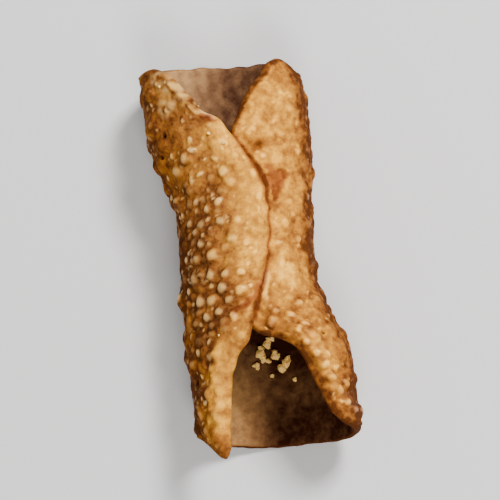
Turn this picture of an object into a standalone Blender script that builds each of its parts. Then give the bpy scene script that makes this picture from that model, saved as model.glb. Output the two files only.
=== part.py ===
"""An empty cannoli shell: a round sheet of dough, rolled on a tube and fried.

The left flap laps over the right one and is sealed to it, and both ends are open.
The shell lies on its back with the seam on top, and its bore runs along Y.

A place on the dough is two numbers. The angle goes round the tube from the middle
of the back, which rests on the table: the left flap is negative, the right flap is
positive, and they meet at the top, half a turn away. The other number is how far
along the tube the place is. The origin is under the middle, on the table.
"""

import math
import random

import bmesh
import bpy
import numpy as np
from mathutils import Vector, noise

# The rolled dough
WAIST_RADIUS = 0.0171
WALL = 0.0025
LAP_GAP = 0.0006
BASE_CUT = 0.0006

# The rim of the sheet, all the way round: degrees round the tube, millimetres along it
RIM = (
    (0, 53.1), (50, 51.0), (82, 46.4), (94, 45.6), (116, 47.6), (144, 41.9),
    (188, 20.5), (200, -2.0), (191, -18.0), (184, -22.0),
    (147, -28.2), (132, -39.8), (119, -47.6), (80, -51.4), (30, -51.2),
    (-40, -49.6), (-78, -47.2), (-101, -47.6), (-126, -51.4), (-136, -53.8), (-143, -52.6),
    (-148, -45.7), (-167, -28.4), (-177, -25.6), (-181, -21.0),
    (-196, -9.9), (-204, 14.5), (-183, 27.9), (-176, 31.4), (-160, 35.3),
    (-145, 42.5), (-123, 48.8), (-108, 49.8), (-45, 54.0),
)
ANGLE_REACH = math.radians(206)
LENGTH_REACH = 0.054

# Where the sides spread or close in: angle, where along that starts and ends, how far
FLARES = (
    (math.radians(-92), 0.0105, 0.0348, 0.0048),
    (math.radians(90), -0.0120, 0.0356, 0.0034),
    (math.radians(-90), 0.0068, -0.0266, 0.0014),
    (math.radians(104), -0.0087, -0.0326, 0.0064),
    (math.radians(92), 0.0370, 0.0500, -0.0016),
)
FLARE_SPREAD = math.radians(80)

# The sealed lap: the left flap's edge is pressed thin, stands off a little, and is glued
PRESSED = 0.0009
PRESS_WIDTH = 0.0050
LIFT_ALONG = 0.0165
LIFT_HALF_WIDTH = 0.0110
LIFT = 0.0010
SEAL_HALF_ANGLE = math.radians(8)
SEAL_HALF_LENGTH = 0.014
SEAL_BITE = 0.0006

# The puffed lips of the near mouth: middle angle and place along, half sizes, width, height
LIPS = (
    (math.radians(-150), -0.040, math.radians(34), 0.021, 0.0058, 0.0012),
    (math.radians(140), -0.034, math.radians(30), 0.016, 0.0034, 0.0006),
)
LIP_EXTRA = 0.45

# The torn hollow in the right flap beside the seam: angle, place along, radius, depth
HOLLOW = (math.radians(146), 0.0160, 0.0048, 0.0006)

# Relief of the crust
WARP = 0.0006
WARP_SIZE = 0.020
BLISTER_SEED = 7
BLISTER_SIZES = ((8, 0.0046, 0.0062, 0.0010), (48, 0.0034, 0.0046, 0.0011), (130, 0.0027, 0.0034, 0.0008))
BLISTER_SPACING = 0.76
RIM_ROUNDING = 0.24

# How finely the sheet is divided: a patch of squares in the middle, and rings round it
PATCH_ACROSS = 38
PATCH_ALONG = 33
PATCH_SHARE = 0.62
RINGS = 10

BAKED_DOUGH = (0.62, 0.33, 0.12, 1.0)


def clear_scene():
    for thing in list(bpy.data.objects):
        bpy.data.objects.remove(thing)


def ease(value, start, end):
    """0 at start, 1 at end, with a smooth slope between."""
    share = np.clip((value - start) / (end - start), 0, 1)
    return share * share * (3 - 2 * share)


def swell(offset, half_width):
    """A smooth hump, 1 in its middle and 0 from its half width on."""
    return np.cos(np.clip(offset / half_width, -1, 1) * math.pi / 2) ** 2


def around(angle):
    """The same direction, from -half a turn to half a turn."""
    return (angle + math.pi) % (2 * math.pi) - math.pi


def rim_reach(heading):
    """How far out the rim lies on this heading from the sheet's middle, by a smooth curve through RIM."""
    spots = []
    for degrees, millimetres in RIM:
        across = math.radians(degrees) / ANGLE_REACH
        up = millimetres / 1000 / LENGTH_REACH
        spots.append((math.atan2(up, across), math.hypot(up, across)))
    headings, reach = np.array(sorted(spots)).T
    headings = np.concatenate([headings - 2 * math.pi, headings, headings + 2 * math.pi])
    reach = np.tile(reach, 3)
    slope = np.gradient(reach, headings)
    at = np.searchsorted(headings, heading) - 1
    step = headings[at + 1] - headings[at]
    t = (heading - headings[at]) / step
    return (
        (1 + 2 * t) * (1 - t) ** 2 * reach[at]
        + t * (1 - t) ** 2 * step * slope[at]
        + t * t * (3 - 2 * t) * reach[at + 1]
        - t * t * (1 - t) * step * slope[at + 1]
    )


def share_of_reach(angle, along):
    """0 in the middle of the sheet, 1 on its rim, and more off the sheet."""
    across = angle / ANGLE_REACH
    up = along / LENGTH_REACH
    return np.hypot(across, up) / rim_reach(np.arctan2(up, across))


def rim_distance(angle, along):
    """The distance over the dough to the nearest point of the rim."""
    heading = np.linspace(-math.pi, math.pi, 720)
    reach = rim_reach(heading)
    rim_round = reach * np.cos(heading) * ANGLE_REACH * WAIST_RADIUS
    rim_along = reach * np.sin(heading) * LENGTH_REACH
    return np.array([
        np.hypot(rim_round - a * WAIST_RADIUS, rim_along - b).min() for a, b in zip(angle, along)
    ])


def place_on_sheet(disc_across, disc_up):
    """Angle and distance along of a place given on a round disc of radius 1."""
    out = np.hypot(disc_across, disc_up)
    heading = np.arctan2(disc_up, disc_across)
    stretch = 1 + (rim_reach(heading) - 1) * out**2
    return disc_across * stretch * ANGLE_REACH, disc_up * stretch * LENGTH_REACH


def flare(angle, along):
    """How far the tube's wall spreads outwards on its way to a mouth."""
    total = np.zeros_like(angle)
    for middle, start, end, amount in FLARES:
        total += amount * ease(along, start, end) * swell(around(angle - middle), FLARE_SPREAD)
    return total


def lap_shape(angle, along, from_rim):
    """How far the left flap's edge is pressed down, or stands off where the seal let go."""
    laps = ease(-angle, math.radians(160), math.radians(182)) * ease(along, -0.024, -0.012)
    pressed = PRESSED * (1 - ease(from_rim, 0, PRESS_WIDTH)) * laps
    at_edge = 1 - ease(from_rim, 0, 0.010)
    return LIFT * at_edge * laps * swell(along - LIFT_ALONG, LIFT_HALF_WIDTH), pressed


def tube_radius(angle, along):
    """The outer radius: a slow spiral, so that the left flap passes over the right."""
    half_step = (WALL + LAP_GAP) / 2
    return WAIST_RADIUS - half_step * angle / math.pi + flare(angle, along)


def warp(points):
    """The uneven pull of the frying fat, the same for both flaps where they lap."""
    return np.array([noise.noise(Vector(p) / WARP_SIZE) for p in points]) * WARP


def rolled(angle, along, lift=0.0):
    """Points on the outer face of the rolled sheet, raised by lift."""
    direction = np.stack([np.sin(angle), np.zeros_like(angle), -np.cos(angle)], axis=1)
    middle = np.stack([np.zeros_like(along), along, np.full(along.shape, WAIST_RADIUS - BASE_CUT)], axis=1)
    sampled = middle + direction * (WAIST_RADIUS + flare(angle, along))[:, None]
    raised = ease(np.abs(angle), math.radians(12), math.radians(40)) * warp(sampled)
    return middle + direction * (tube_radius(angle, along) + raised + lift)[:, None]


def bare_share(angle, along, from_rim):
    """1 where the crust may blister, falling to 0 on the base, at a rim and under the lap."""
    off_base = ease(np.abs(angle), math.radians(20), math.radians(40))
    off_rim = ease(from_rim, 0.0004, 0.0030)
    clear_of_lap = ease(share_of_reach(angle - 2 * math.pi, along), 1.005, 1.05)
    return off_base * off_rim * np.where(angle > 0, clear_of_lap, 1)


def blisters():
    """Angle, distance along, radius and height of each bubble in the crust, large ones first."""
    draw = random.Random(BLISTER_SEED)
    found = []
    for count, smallest, largest, height in BLISTER_SIZES:
        for _ in range(count * 12):
            if count == 0:
                break
            radius = draw.uniform(smallest, largest)
            angle = draw.uniform(-ANGLE_REACH, ANGLE_REACH)
            along = draw.uniform(-LENGTH_REACH, LENGTH_REACH)
            tall = height * draw.uniform(0.7, 1.2)
            clear = all(
                math.hypot((angle - a) * WAIST_RADIUS, along - b) > BLISTER_SPACING * (radius + r)
                for a, b, r, _ in found
            )
            if clear:
                found.append((angle, along, radius, tall))
                count -= 1
    return found


def relief(angle, along, from_rim):
    """The height of the blisters and lips over the smooth crust, less the hollow."""
    height = np.zeros_like(angle)
    for middle_angle, middle_along, radius, tall in blisters():
        away = np.hypot((angle - middle_angle) * WAIST_RADIUS, along - middle_along) / radius
        height = np.maximum(height, tall * np.clip(1 - away * away, 0, 1) ** 1.5)
    height *= bare_share(angle, along, from_rim)
    for middle_angle, middle_along, half_angle, half_length, width, tall in LIPS:
        here = swell(angle - middle_angle, half_angle) * swell(along - middle_along, half_length)
        height += tall * np.sqrt(here) * swell(from_rim - width / 2, width / 2)
    middle_angle, middle_along, radius, depth = HOLLOW
    away = np.hypot((angle - middle_angle) * WAIST_RADIUS, along - middle_along) / radius
    return height * ease(away, 0.6, 1.2) - depth * (1 - ease(away, 0.5, 1.0))


def wall_share(angle, along):
    """The wall's thickness against WALL: more on the left lip of the near mouth."""
    middle_angle, middle_along, half_angle, half_length, _, _ = LIPS[0]
    return 1 + LIP_EXTRA * swell(angle - middle_angle, half_angle) * swell(along - middle_along, half_length)


def coordinates(mesh):
    points = np.empty(len(mesh.vertices) * 3)
    mesh.vertices.foreach_get("co", points)
    return points.reshape(-1, 3)


def apply_modifiers(thing):
    bpy.ops.object.select_all(action="DESELECT")
    thing.select_set(True)
    bpy.context.view_layer.objects.active = thing
    for modifier in list(thing.modifiers):
        bpy.ops.object.modifier_apply(modifier=modifier.name)


def baked_dough():
    material = bpy.data.materials.new("baked_dough")
    material.use_nodes = True
    surface = material.node_tree.nodes["Principled BSDF"]
    surface.inputs["Base Color"].default_value = BAKED_DOUGH
    surface.inputs["Roughness"].default_value = 0.55
    surface.inputs["Metallic"].default_value = 0.0
    return material


def divided_disc():
    """A round disc of radius 1, facing down: a square patch, and rings from it to the rim."""
    bpy.ops.mesh.primitive_grid_add(x_subdivisions=PATCH_ACROSS, y_subdivisions=PATCH_ALONG, size=2)
    disc = bpy.context.object
    cells = bmesh.new()
    cells.from_mesh(disc.data)
    outline = [edge for edge in cells.edges if edge.is_boundary]
    for ring in range(RINGS):
        grown = bmesh.ops.extrude_edge_only(cells, edges=outline)["geom"]
        for vertex in (item for item in grown if isinstance(item, bmesh.types.BMVert)):
            vertex.co.z = ring + 1
        outline = [item for item in grown if isinstance(item, bmesh.types.BMEdge)]
    bmesh.ops.recalc_face_normals(cells, faces=cells.faces)
    cells.to_mesh(disc.data)
    cells.free()

    square_across, square_up, ring = coordinates(disc.data).T
    across = square_across * PATCH_SHARE
    up = square_up * PATCH_SHARE
    patch_across = across * np.sqrt(1 - up * up / 2)
    patch_up = up * np.sqrt(1 - across * across / 2)
    steep = np.abs(square_up) > np.abs(square_across)
    side = np.where(steep, square_across, square_up) * math.pi / 4
    rim_across = np.where(steep, np.sin(side), np.sign(square_across) * np.cos(side))
    rim_up = np.where(steep, np.sign(square_up) * np.cos(side), np.sin(side))
    share = ring / RINGS
    place = np.zeros((len(share), 3))
    place[:, 0] = patch_across + (rim_across - patch_across) * share
    place[:, 1] = patch_up + (rim_up - patch_up) * share
    disc.data.vertices.foreach_set("co", place.ravel())
    disc.data.update()
    if disc.data.polygons[0].normal.z > 0:
        disc.data.flip_normals()
    return disc, share == 1


def rolled_dough():
    """The sheet of dough, rolled up, given its wall and blistered on its outside."""
    shell, on_rim = divided_disc()
    shell.name = "shell"
    flat = coordinates(shell.data)
    angle, along = place_on_sheet(flat[:, 0], flat[:, 1])
    from_rim = rim_distance(angle, along)
    lifted, pressed = lap_shape(angle, along, from_rim)
    shell.data.vertices.foreach_set("co", rolled(angle, along, lifted).ravel())
    shell.data.update()
    outwards = np.array([v.normal for v in shell.data.vertices])

    thick = wall_share(angle, along) - RIM_ROUNDING * on_rim
    group = shell.vertex_groups.new(name="wall")
    for index, share in enumerate(thick / thick.max()):
        group.add([index], float(share), "REPLACE")
    wall = shell.modifiers.new("wall", "SOLIDIFY")
    wall.thickness = WALL * float(thick.max())
    wall.offset = -1
    wall.vertex_group = group.name
    apply_modifiers(shell)

    points = coordinates(shell.data)
    outer = len(angle)
    raised = relief(angle, along, from_rim) - pressed - RIM_ROUNDING * WALL * on_rim
    points[:outer] += outwards * raised[:, None]
    points[:outer, 2] = np.maximum(points[:outer, 2], 0)
    shell.data.vertices.foreach_set("co", points.ravel())
    shell.data.update()
    return shell


def seal_of_the_lap():
    """The dab of egg white that bonds the flaps, reaching a little into each."""
    bpy.ops.mesh.primitive_grid_add(x_subdivisions=4, y_subdivisions=14, size=2)
    seal = bpy.context.object
    seal.name = "seal"
    flat = coordinates(seal.data)
    angle = math.pi + flat[:, 0] * SEAL_HALF_ANGLE
    along = flat[:, 1] * SEAL_HALF_LENGTH
    seal.data.vertices.foreach_set("co", rolled(angle, along, -SEAL_BITE).ravel())
    seal.data.update()
    seal.data.flip_normals()
    depth = seal.modifiers.new("depth", "SOLIDIFY")
    depth.thickness = LAP_GAP + 2 * SEAL_BITE
    depth.offset = 1
    apply_modifiers(seal)
    return seal


def fuse(body, addition):
    join = body.modifiers.new("join", "BOOLEAN")
    join.operation = "UNION"
    join.object = addition
    apply_modifiers(body)
    bpy.data.objects.remove(addition)


def stand_over_the_origin(thing):
    points = coordinates(thing.data)
    points[:, :2] -= (points.min(axis=0) + points.max(axis=0))[:2] / 2
    thing.data.vertices.foreach_set("co", points.ravel())
    thing.data.update()


def cannoli_shell():
    clear_scene()
    shell = rolled_dough()
    fuse(shell, seal_of_the_lap())
    stand_over_the_origin(shell)
    shell.data.materials.clear()
    shell.data.materials.append(baked_dough())
    shell.data.shade_smooth()
    collection = bpy.data.collections.new("cannoli_shell")
    bpy.context.scene.collection.children.link(collection)
    for owner in list(shell.users_collection):
        owner.objects.unlink(shell)
    collection.objects.link(shell)


cannoli_shell()
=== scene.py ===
"""The looks of an empty cannoli shell, built in the frame of its plain model."""

import math
import random

import bmesh
import bpy
import numpy as np
from mathutils import Matrix, Vector, noise
from mathutils.bvhtree import BVHTree
from mathutils.kdtree import KDTree


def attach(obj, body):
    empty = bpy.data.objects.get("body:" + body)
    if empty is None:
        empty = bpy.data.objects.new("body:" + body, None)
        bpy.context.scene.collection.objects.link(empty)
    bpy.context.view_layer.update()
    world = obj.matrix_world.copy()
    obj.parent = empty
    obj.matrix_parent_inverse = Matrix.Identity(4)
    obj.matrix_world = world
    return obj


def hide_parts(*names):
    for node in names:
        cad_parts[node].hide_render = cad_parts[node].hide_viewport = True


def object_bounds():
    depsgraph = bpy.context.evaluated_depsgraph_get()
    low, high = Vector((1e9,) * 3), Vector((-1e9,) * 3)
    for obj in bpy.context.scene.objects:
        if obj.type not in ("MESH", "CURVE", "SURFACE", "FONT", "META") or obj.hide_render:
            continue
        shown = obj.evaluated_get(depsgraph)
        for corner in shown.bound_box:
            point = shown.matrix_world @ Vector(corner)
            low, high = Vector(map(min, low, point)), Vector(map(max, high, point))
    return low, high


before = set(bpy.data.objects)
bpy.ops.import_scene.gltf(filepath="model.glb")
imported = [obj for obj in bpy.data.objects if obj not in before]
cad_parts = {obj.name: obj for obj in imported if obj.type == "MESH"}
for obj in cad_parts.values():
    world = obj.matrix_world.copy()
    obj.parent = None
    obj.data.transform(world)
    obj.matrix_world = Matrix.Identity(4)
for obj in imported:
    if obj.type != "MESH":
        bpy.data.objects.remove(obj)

cad_low, cad_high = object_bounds()


# ---- The shell of fried dough --------------------------------------------------------
# A round sheet of wheat dough, rolled on a steel tube, its left flap lapped over the
# right one and glued with egg white, then fried till the outside blistered.

# A place on the dough is an angle round the tube from the middle of the back, negative on
# the left flap, and a distance along the tube from its middle, positive to the far mouth
WAIST_RADIUS = 0.0171
WALL = 0.0025
LAP_GAP = 0.0006
BASE_CUT = 0.0006
ANGLE_REACH = math.radians(206)
LENGTH_REACH = 0.054

# The rim, all the way round: degrees round the tube, millimetres along it
RIM = (
    (0, 53.1), (50, 51.0), (82, 46.4), (94, 45.6), (116, 47.6), (144, 41.9),
    (188, 20.5), (200, -2.0), (191, -18.0), (184, -22.0),
    (147, -28.2), (132, -39.8), (119, -47.6), (80, -51.4), (30, -51.2),
    (-40, -49.6), (-78, -47.2), (-101, -47.6), (-126, -51.4), (-136, -53.8), (-143, -52.6),
    (-148, -45.7), (-167, -28.4), (-177, -25.6), (-181, -21.0),
    (-196, -9.9), (-204, 14.5), (-183, 27.9), (-176, 31.4), (-160, 35.3),
    (-145, 42.5), (-123, 48.8), (-108, 49.8), (-45, 54.0),
)

# Its small waves, as shares of the sheet's reach
RIM_WAVE = 0.0075
RIM_WAVE_SIZE = 0.055

# Where the sides spread or close in: angle, where along that starts and ends, how far
FLARES = (
    (math.radians(-92), 0.0105, 0.0348, 0.0048),
    (math.radians(90), -0.0120, 0.0356, 0.0034),
    (math.radians(-90), 0.0068, -0.0266, 0.0014),
    (math.radians(104), -0.0087, -0.0326, 0.0064),
    (math.radians(92), 0.0370, 0.0500, -0.0016),
)
FLARE_SPREAD = math.radians(80)

# Where the left flap starts to lie over the right one: angle, and place along
LAP_FROM = (math.radians(160), math.radians(182))
LAP_NEAR_END = (-0.024, -0.012)

# The sealed lap: the left flap's edge is pressed thin, and stands off where the seal let go
PRESSED = 0.0009
PRESS_WIDTH = 0.0050
SEALED_DOWN = 0.00045
SEAL_WIDTH = 0.010
LIFT_ALONG = 0.0165
LIFT_HALF_WIDTH = 0.0110
LIFT = 0.0010

# The puffed lips of the near mouth: middle angle and place along, half sizes, width, height
LEFT_LIP = (math.radians(-150), -0.040, math.radians(34), 0.021, 0.0058, 0.0012)
RIGHT_LIP = (math.radians(140), -0.034, math.radians(30), 0.016, 0.0034, 0.0006)

# The wall's warps, which leave out the strip it rests on: where they start and are full
WARP = 0.0006
WARP_SIZE = 0.020
WARPED_FROM = (math.radians(12), math.radians(40))

# The rim is rounded over this width, worked out from so many points, and joined if so near
RIM_ROUND = 0.0013
RIM_POINTS = 8000
RIM_WELD = 0.00005

# How finely the inner face is divided; the outer face has twice as many each way
PATCH_ACROSS = 98
PATCH_ALONG = 84
PATCH_SHARE = 0.62
RINGS = 31
RING_CROWDING = 1.25


def ease(value, start, end):
    """0 at start, 1 at end, with a smooth slope between."""
    share = np.clip((value - start) / (end - start), 0, 1)
    return share * share * (3 - 2 * share)


def swell(offset, half_width):
    """A smooth hump, 1 in its middle and 0 from its half width on."""
    return np.cos(np.clip(offset / half_width, -1, 1) * math.pi / 2) ** 2


def around(angle):
    """The same direction, from -half a turn to half a turn."""
    return (angle + math.pi) % (2 * math.pi) - math.pi


def lumps(points, size):
    """Smooth noise at these points, from -1 to 1, with lumps of this size."""
    return np.array([noise.noise(Vector(p) / size) for p in points])


def layered(points, layers):
    """Noise of several sizes in one: the size of the lumps and how strong, for each."""
    return sum(lumps(points, size) * amount for size, amount in layers)


def rim_reach(heading):
    """How far out the rim is on this heading over the flat sheet, by a smooth curve through RIM."""
    spots = []
    for degrees, millimetres in RIM:
        across = math.radians(degrees) / ANGLE_REACH
        up = millimetres / 1000 / LENGTH_REACH
        spots.append((math.atan2(up, across), math.hypot(up, across)))
    headings, reach = np.array(sorted(spots)).T
    headings = np.concatenate([headings - 2 * math.pi, headings, headings + 2 * math.pi])
    reach = np.tile(reach, 3)
    slope = np.gradient(reach, headings)
    at = np.searchsorted(headings, heading) - 1
    step = headings[at + 1] - headings[at]
    t = (heading - headings[at]) / step
    round_trip = np.stack([np.cos(heading), np.sin(heading), heading * 0], axis=1)
    return RIM_WAVE * lumps(round_trip, RIM_WAVE_SIZE) + (
        (1 + 2 * t) * (1 - t) ** 2 * reach[at]
        + t * (1 - t) ** 2 * step * slope[at]
        + t * t * (3 - 2 * t) * reach[at + 1]
        - t * t * (1 - t) * step * slope[at + 1]
    )


def share_of_reach(angle, along):
    """0 in the middle of the sheet, 1 on its rim, and more off the sheet."""
    across = angle / ANGLE_REACH
    up = along / LENGTH_REACH
    return np.hypot(across, up) / rim_reach(np.arctan2(up, across))


def rim_distance(angle, along):
    """The distance over the dough to the nearest point of the rim."""
    heading = np.linspace(-math.pi, math.pi, RIM_POINTS)
    reach = rim_reach(heading)
    rim_round = reach * np.cos(heading) * ANGLE_REACH * WAIST_RADIUS
    rim_along = reach * np.sin(heading) * LENGTH_REACH
    nearest = KDTree(RIM_POINTS)
    for number, (across, up) in enumerate(zip(rim_round, rim_along)):
        nearest.insert((across, up, 0), number)
    nearest.balance()
    return np.array([nearest.find((a * WAIST_RADIUS, b, 0))[2] for a, b in zip(angle, along)])


def flare(angle, along):
    """How far the tube's wall spreads outwards on its way to a mouth."""
    total = np.zeros_like(angle)
    for middle, start, end, amount in FLARES:
        total += amount * ease(along, start, end) * swell(around(angle - middle), FLARE_SPREAD)
    return total


def straight_out(angle):
    """The way out of the tube, square to its length, at this angle."""
    return np.stack([np.sin(angle), np.zeros_like(angle), -np.cos(angle)], axis=1)


def rolled(angle, along, lift):
    """Points on the outer face of the rolled sheet, a slow spiral, raised by lift."""
    direction = straight_out(angle)
    height = np.full(along.shape, WAIST_RADIUS - BASE_CUT)
    middle = np.stack([np.zeros_like(along), along, height], axis=1)
    half_step = (WALL + LAP_GAP) / 2
    radius = WAIST_RADIUS + flare(angle, along)
    warped = lumps(middle + direction * radius[:, None], WARP_SIZE) * WARP
    warped *= ease(np.abs(angle), *WARPED_FROM)
    return middle + direction * (radius - half_step * angle / math.pi + warped + lift)[:, None]


def coordinates(mesh):
    """Where each point of the mesh is, a row for each."""
    points = np.empty(len(mesh.vertices) * 3)
    mesh.vertices.foreach_get("co", points)
    return points.reshape(-1, 3)


def move_to(thing, points):
    """Moves each point of this piece's mesh to the place in its row."""
    thing.data.vertices.foreach_set("co", points.ravel())
    thing.data.update()


def sheet_of_dough(name, fineness, faces_up):
    """A disc, made as a square patch with rings grown from its edge, and where on the dough
    each of its points lies: the angle, the distance along, and the distance from the rim."""
    bpy.ops.object.select_all(action="DESELECT")
    bpy.ops.mesh.primitive_grid_add(
        x_subdivisions=PATCH_ACROSS * fineness, y_subdivisions=PATCH_ALONG * fineness, size=2
    )
    sheet = bpy.context.object
    sheet.name = name
    bpy.ops.object.mode_set(mode="EDIT")
    bpy.ops.mesh.select_all(action="SELECT")
    bpy.ops.mesh.region_to_loop()
    for _ in range(RINGS * fineness):
        bpy.ops.mesh.extrude_edges_move(TRANSFORM_OT_translate={"value": (0, 0, 1)})
    if fineness == 1:
        # Only the rim is selected here, and is cut to meet the finer sheet's rim
        bpy.ops.mesh.subdivide(number_cuts=1)
    bpy.ops.mesh.select_all(action="SELECT")
    bpy.ops.mesh.normals_make_consistent(inside=False)
    bpy.ops.object.mode_set(mode="OBJECT")

    square_across, square_up, ring = coordinates(sheet.data).T
    across = square_across * PATCH_SHARE
    up = square_up * PATCH_SHARE
    patch_across = across * np.sqrt(1 - up * up / 2)
    patch_up = up * np.sqrt(1 - across * across / 2)
    steep = np.abs(square_up) > np.abs(square_across)
    side = np.where(steep, square_across, square_up) * math.pi / 4
    rim_across = np.where(steep, np.sin(side), np.sign(square_across) * np.cos(side))
    rim_up = np.where(steep, np.sign(square_up) * np.cos(side), np.sin(side))
    share = 1 - (1 - ring / RINGS / fineness) ** RING_CROWDING
    disc_across = patch_across + (rim_across - patch_across) * share
    disc_up = patch_up + (rim_up - patch_up) * share
    move_to(sheet, np.stack([disc_across, disc_up, np.zeros_like(ring)], axis=1))
    if (sheet.data.polygons[0].normal.z > 0) != faces_up:
        sheet.data.flip_normals()

    off_middle = np.hypot(disc_across, disc_up)
    stretch = 1 + (rim_reach(np.arctan2(disc_up, disc_across)) - 1) * off_middle ** 2
    angle = disc_across * stretch * ANGLE_REACH
    along = disc_up * stretch * LENGTH_REACH
    return sheet, angle, along, np.where(share < 1, rim_distance(angle, along), 0)


def lapping(angle, along):
    """1 on the left flap where it lies over the right one."""
    return ease(-angle, *LAP_FROM) * ease(along, *LAP_NEAR_END)


def lap_lift(angle, along, from_rim):
    """The left flap's edge is glued down, or stands off where the seal let go."""
    stands_off = swell(along - LIFT_ALONG, LIFT_HALF_WIDTH)
    at_edge = 1 - ease(from_rim, 0, SEAL_WIDTH)
    return lapping(angle, along) * at_edge * (LIFT * stands_off - SEALED_DOWN * (1 - stands_off))


def pressed_in(angle, along, from_rim):
    """How much thinner the wall is where the left flap's edge was pressed down."""
    return PRESSED * (1 - ease(from_rim, 0, PRESS_WIDTH)) * lapping(angle, along)


def rim_fall(angle, along, from_rim):
    """How far each face falls towards the wall's middle at the rim, along a quarter ellipse."""
    half_wall = (WALL - pressed_in(angle, along, from_rim)) / 2
    return half_wall * (1 - np.sqrt(1 - np.clip(1 - from_rim / RIM_ROUND, 0, 1) ** 2))


def on_this_lip(angle, along, lip, wider=1.0):
    """1 in the middle of a lip, falling to 0 at its ends."""
    middle_angle, middle_along, half_angle, half_length, _, _ = lip
    sideways = swell(angle - middle_angle, wider * half_angle)
    return sideways * swell(along - middle_along, wider * half_length)


# The outer face, smooth at first, and the way out of it at each place
crust, angle, along, from_rim = sheet_of_dough("crust", 2, False)
count = len(angle)
lift = lap_lift(angle, along, from_rim) - pressed_in(angle, along, from_rim)
smooth_face = rolled(angle, along, lift)
move_to(crust, smooth_face)
outwards = np.empty(count * 3)
crust.data.vertex_normals.foreach_get("vector", outwards)
outwards = outwards.reshape(-1, 3)


# A part of the outer face is a number for each point, from 0 off that part to 1 on it.
# These five give one that starts at the first number and is full at the second one.
def turned_left(start, end):
    """In degrees from the back, round by the left."""
    return ease(-angle, math.radians(start), math.radians(end))


def turned_right(start, end):
    """In degrees from the back, round by the right."""
    return ease(angle, math.radians(start), math.radians(end))


def to_far_mouth(start, end):
    """In millimetres along, from the middle to the far mouth."""
    return ease(along, start / 1000, end / 1000)


def to_near_mouth(start, end):
    """In millimetres along, from the middle to the near mouth."""
    return ease(-along, start / 1000, end / 1000)


def in_from_rim(start, end):
    """In millimetres from the rim."""
    return ease(from_rim, start / 1000, end / 1000)


def away_from(degrees, millimetres):
    """How far each point of the outer face is from this place on the dough, in metres."""
    return np.hypot((angle - math.radians(degrees)) * WAIST_RADIUS, along - millimetres / 1000)


def peak(value, middle, width):
    """A narrow hump, 1 in its middle."""
    return np.exp(-((value - middle) / width) ** 2)


def over_parts(all_over, parts):
    """So much all over, and more or less on each part: the part, and how much more."""
    return all_over + sum(part * more for part, more in parts)


# Steam lifts the dough in wide swellings: how many, radius from and to, and height
SWELLING_SEED = 7
SWELLINGS = (
    (8, 0.0046, 0.0062, 0.0010),
    (48, 0.0034, 0.0046, 0.0011),
    (130, 0.0027, 0.0034, 0.0008),
)
SWELLING_TRIES = 12
SWELLING_SPACING = 0.76
SWELLING_HEIGHTS = (0.7, 1.2)
SWELLING_STEEPNESS = 1.5

# The plainest of the small blisters that stand on these: degrees round the tube,
# millimetres along it, radius in millimetres
PLAIN_BLISTERS = (
    (-146, 11.7, 1.2), (-156, 8.9, 1.3), (-166, 5.3, 1.4), (-174, 0.3, 1.7), (-184, -1.2, 1.2),
    (-157, -3.2, 1.9), (-152, -7.8, 1.8), (-166, -8.1, 1.5), (-178, -8.6, 1.4), (-161, -11.7, 1.7),
    (-175, -13.1, 1.6), (-138, -13.8, 1.6), (-150, -14.4, 1.8), (-165, -15.1, 1.4), (-156, -17.3, 1.5),
    (-143, -18.3, 1.4), (-168, -19.4, 1.3), (-136, 6.9, 1.3), (-142, 3.8, 1.4), (-140, -3.1, 1.5),
    (-125, 9.6, 1.2), (-174, 17.8, 1.5), (-154, 18.3, 1.2), (-144, 23.2, 1.4), (-137, 37.8, 0.8),
    (-131, 46.9, 0.8), (-126, 44.6, 0.9), (-149, 27.7, 1.0), (-168, 21.4, 1.1),
    (158, -19.2, 1.3), (137, -17.6, 1.3), (138, 3.2, 1.8), (130, 8.9, 1.4), (144, 6.3, 1.1),
    (120, 21.9, 1.3), (162, 27.1, 1.3), (125, -0.6, 1.4),
    (143, -25.0, 1.2), (139, -28.0, 1.4), (135, -31.0, 1.3), (131, -34.2, 1.5), (126, -37.6, 1.4),
    (121, -41.0, 1.4), (115, -44.0, 1.3), (137, -23.5, 1.3), (132, -28.2, 1.2), (127, -31.6, 1.3),
    (121, -35.2, 1.2), (114, -39.0, 1.4), (146, -20.5, 1.2), (107, -46.0, 1.2),
)

# The rest of the small blisters: how many, radius from and to. Height is in radii, and
# paleness from 0 to 1, with a power that leaves most of the rest dark.
BLISTER_SEED = 19
BLISTERS = ((460, 0.00105, 0.00180), (900, 0.00065, 0.00100), (900, 0.00040, 0.00060))
BLISTER_TRIES = 30
BLISTER_SPACING = 0.76
BLISTER_STEEPNESS = 0.56
BLISTER_HEIGHTS = (0.5, 1.1)
BLISTER_STRETCHES = (1.0, 1.5)
BLISTER_DARKNESS = 2.2
PLAIN_STRETCHES = (1.0, 1.4)
PLAIN_PALENESS = (0.45, 1.0)

# They crowd the near part of the left flap, which fried longest, and are fewer elsewhere
CROWDED_PAST = math.radians(-60)
CROWDED_UP_TO = 0.016
FEWER = 0.5
FEWER_LARGE = 0.12
LARGE_BLISTER = 0.0010

# A blister's pale cap, partly its paler skin and partly a painted highlight, starts and is
# full at these shares of its height, and a brown ring stands round it: radii from its middle,
# and how wide. Its outline is ragged, by noise of these sizes and strengths, taken so far
# apart for across and along.
BLISTER_ROUNDNESS = 0.8
CAP_EDGE = (0.40, 1.0)
RING = (1.1, 0.25)
BLISTER_SEARCH = 4
RAGGED = ((0.0020, 0.00060), (0.0008, 0.00018))
RAGGED_APART = 0.1

# How high the small blisters stand on the right flap's top, and how much more on its side
# and on its puffed rim; how much lower they are on smooth parts
RIGHT_TOP_BLISTERS = 0.5
RIGHT_SIDE_BLISTERS = 0.25
PUFFED_RIM_BLISTERS = 0.5
LOWER_ON_BULGE = 0.85
LOWER_ON_LIP = 0.5
LOWER_ON_SIDE = 0.65


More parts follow.
